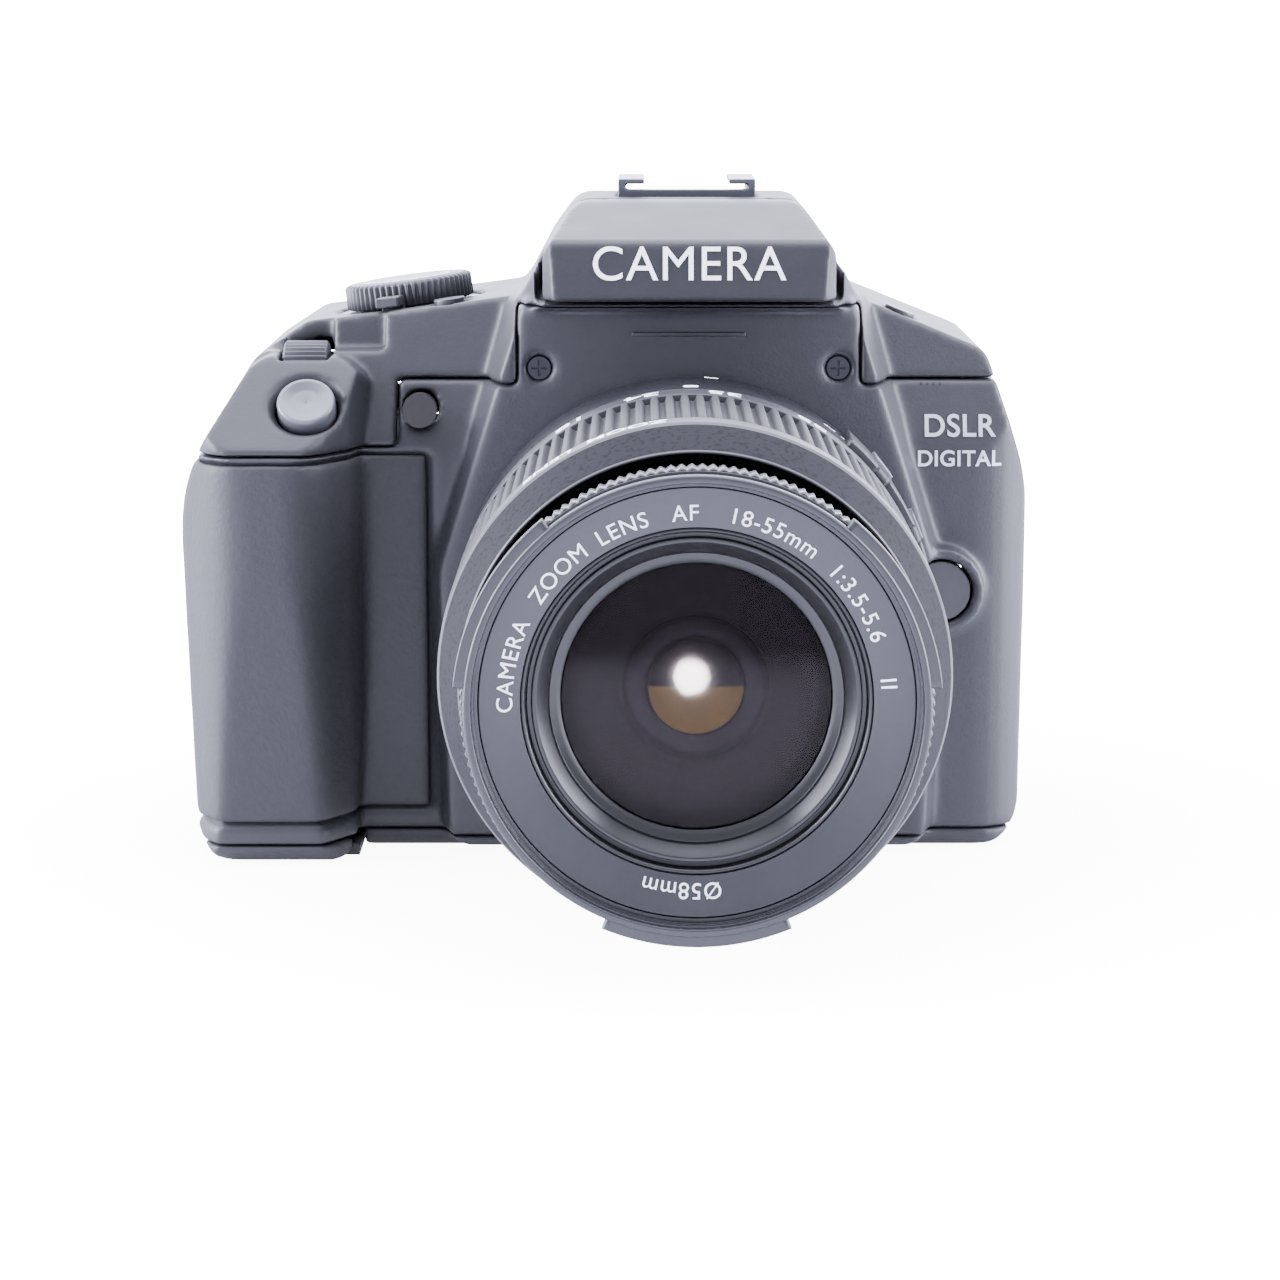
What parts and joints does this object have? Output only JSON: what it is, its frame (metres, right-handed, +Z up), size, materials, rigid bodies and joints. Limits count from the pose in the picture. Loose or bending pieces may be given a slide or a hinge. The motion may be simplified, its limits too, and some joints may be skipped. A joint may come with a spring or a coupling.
{
  "type": "single-lens reflex camera",
  "caption": "Black reflex camera with a rubber grip, pop-up flash, hot shoe, viewfinder, rear screen and a retracting standard zoom lens.",
  "frame": {"origin": "centre of the mouth of the tripod socket, on the base plane", "axes": "+Z up, lens looks along -Y, +X to the right seen from the front"},
  "size_m": [0.1285, 0.1572, 0.1013],
  "materials": {
    "cover_plastic": "fine matt grain",
    "rubber": "fine leather grain",
    "frame_metal": "cast",
    "steel": "turned",
    "dark_steel": "satin black",
    "clear_glass": "coated",
    "mirror": "polished",
    "inner_plastic": "matt",
    "card_plastic": "satin",
    "circuit_board": "solder mask",
    "display": "glossy",
    "lamp_plastic": "translucent",
    "blade_metal": "matt",
    "satin_plastic": "satin silver",
    "switch_plastic": "satin",
    "lens_plastic": "satin"
  },
  "bodies": {
    "camera_body": {"front_cover": "cover_plastic", "rear_cover": "cover_plastic", "top_cover": "cover_plastic", "bottom_cover": "cover_plastic", "grip_rubber": "rubber", "chassis": "frame_metal", "battery_box": "inner_plastic", "battery": "inner_plastic", "memory_card": "card_plastic", "tripod_socket": "steel", "hot_shoe": "steel", "viewfinder_lenses": "clear_glass", "pentamirror": "inner_plastic", "shutter_frame": "frame_metal", "image_sensor": "circuit_board", "main_board": "circuit_board", "lcd_panel": "display", "lcd_window": "clear_glass", "mount_ring": "steel", "cover_screws": "dark_steel", "timer_lamp": "lamp_plastic", "lens_bayonet": "steel", "lens_barrel": "lens_plastic"},
    "main_mirror": {"main_mirror": "mirror"},
    "sub_mirror": {"sub_mirror": "mirror"},
    "shutter_curtain": {"shutter_curtain": "blade_metal"},
    "flash": {"flash_head": "cover_plastic", "flash_window": "clear_glass"},
    "shutter_button": {"shutter_button": "satin_plastic"},
    "main_dial": {"main_dial": "cover_plastic"},
    "mode_dial": {"mode_dial": "cover_plastic"},
    "power_switch": {"power_switch": "cover_plastic"},
    "flash_button": {"flash_button": "cover_plastic"},
    "speed_button": {"speed_button": "cover_plastic"},
    "release_button": {"release_button": "cover_plastic"},
    "terminal_cover": {"terminal_cover": "rubber"},
    "battery_door": {"battery_door": "cover_plastic"},
    "door_latch": {"door_latch": "inner_plastic"},
    "eyecup": {"eyecup": "rubber"},
    "diopter_dial": {"diopter_dial": "cover_plastic"},
    "live_view_button": {"live_view_button": "cover_plastic"},
    "zoom_rocker": {"zoom_rocker": "cover_plastic"},
    "exposure_button": {"exposure_button": "cover_plastic"},
    "quick_button": {"quick_button": "cover_plastic"},
    "four_way_pad": {"four_way_pad": "cover_plastic"},
    "set_button": {"set_button": "cover_plastic"},
    "play_button": {"play_button": "cover_plastic"},
    "erase_button": {"erase_button": "cover_plastic"},
    "menu_button": {"menu_button": "cover_plastic"},
    "zoom": {"zoom_ring": "lens_plastic", "zoom_rubber": "rubber"},
    "inner_barrel": {"inner_barrel": "lens_plastic", "rear_elements": "clear_glass", "aperture_unit": "inner_plastic"},
    "focus_tube": {"focus_tube": "lens_plastic"},
    "front_group": {"focus_ring": "lens_plastic", "name_ring": "lens_plastic", "front_elements": "clear_glass"},
    "af_switch": {"af_switch": "switch_plastic"},
    "stabiliser_switch": {"stabiliser_switch": "switch_plastic"}
  },
  "joints": [
    {"name": "mirror_swing", "type": "hinge", "parent": "camera_body", "child": "main_mirror", "pos_m": [0, -0.0006, 0.0516], "axis": [-1, 0, 0], "range_deg": [0, 45], "stiffness_Nm_per_rad": 0.01, "springref_deg": -17.19},
    {"name": "sub_mirror_fold", "type": "hinge", "parent": "main_mirror", "child": "sub_mirror", "pos_m": [0, -0.01184, 0.03809], "axis": [1, 0, 0], "range_deg": [0, 90]},
    {"name": "curtain_drop", "type": "slide", "parent": "camera_body", "child": "shutter_curtain", "axis": [0, 0, -1], "range_m": [0, 0.0184]},
    {"name": "flash_lift", "type": "hinge", "parent": "camera_body", "child": "flash", "pos_m": [0, -0.0135, 0.0963], "axis": [-1, 0, 0], "range_deg": [0, 65]},
    {"name": "shutter_press", "type": "slide", "parent": "camera_body", "child": "shutter_button", "axis": [0, 0.7071, -0.7071], "range_m": [0, 0.001], "stiffness_N_per_m": 300, "springref_m": -0.001},
    {"name": "main_dial_turn", "type": "hinge", "parent": "camera_body", "child": "main_dial", "pos_m": [-0.058, -0.022, 0.0706], "axis": [1, 0, 0], "continuous": true},
    {"name": "mode_dial_turn", "type": "hinge", "parent": "camera_body", "child": "mode_dial", "pos_m": [-0.043, -0.003, 0.0798], "axis": [-0.1305, 0, 0.9914], "continuous": true},
    {"name": "power_turn", "type": "hinge", "parent": "camera_body", "child": "power_switch", "pos_m": [-0.043, -0.003, 0.0798], "axis": [0.1305, 0, -0.9914], "range_deg": [0, 30]},
    {"name": "flash_button_press", "type": "slide", "parent": "camera_body", "child": "flash_button", "axis": [-0.3746, 0, -0.9272], "range_m": [0, 0.0006], "stiffness_N_per_m": 300, "springref_m": -0.001},
    {"name": "speed_button_press", "type": "slide", "parent": "camera_body", "child": "speed_button", "axis": [0.1305, 0, -0.9914], "range_m": [0, 0.0006], "stiffness_N_per_m": 300, "springref_m": -0.001},
    {"name": "release_press", "type": "slide", "parent": "camera_body", "child": "release_button", "axis": [0, 1, 0], "range_m": [0, 0.0018], "stiffness_N_per_m": 300, "springref_m": -0.002},
    {"name": "terminal_cover_swing", "type": "hinge", "parent": "camera_body", "child": "terminal_cover", "pos_m": [0.0503, -0.0145, 0], "axis": [0, 0, -1], "range_deg": [0, 90]},
    {"name": "battery_door_swing", "type": "hinge", "parent": "camera_body", "child": "battery_door", "pos_m": [0, 0.0098, 0.0015], "axis": [1, 0, 0], "range_deg": [0, 100]},
    {"name": "door_latch_slide", "type": "slide", "parent": "battery_door", "child": "door_latch", "axis": [0, 1, 0], "range_m": [0, 0.002]},
    {"name": "eyecup_slide", "type": "slide", "parent": "camera_body", "child": "eyecup", "axis": [0, 0, 1], "range_m": [0, 0.014]},
    {"name": "diopter_turn", "type": "hinge", "parent": "camera_body", "child": "diopter_dial", "pos_m": [-0.0214, 0.026, 0.08], "axis": [0, 1, 0], "range_deg": [-90, 90]},
    {"name": "live_view_press", "type": "slide", "parent": "camera_body", "child": "live_view_button", "axis": [0, -1, 0], "range_m": [0, 0.0008], "stiffness_N_per_m": 300, "springref_m": -0.001},
    {"name": "exposure_press", "type": "slide", "parent": "camera_body", "child": "exposure_button", "axis": [0, -1, 0], "range_m": [0, 0.0008], "stiffness_N_per_m": 300, "springref_m": -0.001},
    {"name": "quick_press", "type": "slide", "parent": "camera_body", "child": "quick_button", "axis": [0, -1, 0], "range_m": [0, 0.0008], "stiffness_N_per_m": 300, "springref_m": -0.001},
    {"name": "play_press", "type": "slide", "parent": "camera_body", "child": "play_button", "axis": [0, -1, 0], "range_m": [0, 0.0008], "stiffness_N_per_m": 300, "springref_m": -0.001},
    {"name": "erase_press", "type": "slide", "parent": "camera_body", "child": "erase_button", "axis": [0, -1, 0], "range_m": [0, 0.0008], "stiffness_N_per_m": 300, "springref_m": -0.001},
    {"name": "menu_press", "type": "slide", "parent": "camera_body", "child": "menu_button", "axis": [0, -1, 0], "range_m": [0, 0.0008], "stiffness_N_per_m": 300, "springref_m": -0.001},
    {"name": "set_press", "type": "slide", "parent": "camera_body", "child": "set_button", "axis": [0, -1, 0], "range_m": [0, 0.0008], "stiffness_N_per_m": 300, "springref_m": -0.001},
    {"name": "zoom_rocker_tilt", "type": "hinge", "parent": "camera_body", "child": "zoom_rocker", "pos_m": [-0.046, 0.0228, 0.064], "axis": [0, 0, 1], "range_deg": [-4, 4], "stiffness_Nm_per_rad": 0.02},
    {"name": "pad_tilt", "type": "hinge", "parent": "camera_body", "child": "four_way_pad", "pos_m": [-0.048, 0.0226, 0.031], "axis": [1, 0, 0], "range_deg": [-3, 3], "stiffness_Nm_per_rad": 0.05},
    {"name": "zoom_turn", "type": "hinge", "parent": "camera_body", "child": "zoom", "pos_m": [0, -0.066, 0.04], "axis": [0, -1, 0], "range_deg": [-61, 14]},
    {"name": "zoom_extend", "type": "slide", "parent": "camera_body", "child": "inner_barrel", "axis": [0, -1, 0], "range_m": [-0.013, 0.003]},
    {"name": "focus_extend", "type": "slide", "parent": "inner_barrel", "child": "focus_tube", "axis": [0, -1, 0], "range_m": [0, 0.004]},
    {"name": "focus_turn", "type": "hinge", "parent": "focus_tube", "child": "front_group", "pos_m": [0, -0.12, 0.04], "axis": [0, -1, 0], "range_deg": [0, 90]},
    {"name": "af_switch_slide", "type": "slide", "parent": "camera_body", "child": "af_switch", "axis": [0, -1, 0], "range_m": [0, 0.0038]},
    {"name": "stabiliser_switch_slide", "type": "slide", "parent": "camera_body", "child": "stabiliser_switch", "axis": [0, -1, 0], "range_m": [0, 0.0038]}
  ],
  "couplings": [
    {"joint": "sub_mirror_fold", "follows": "mirror_swing", "ratio": 2},
    {"joint": "zoom_extend", "follows": "zoom_turn", "m_per_rad": 0.0122},
    {"joint": "focus_extend", "follows": "focus_turn", "m_per_rad": 0.00254}
  ]
}
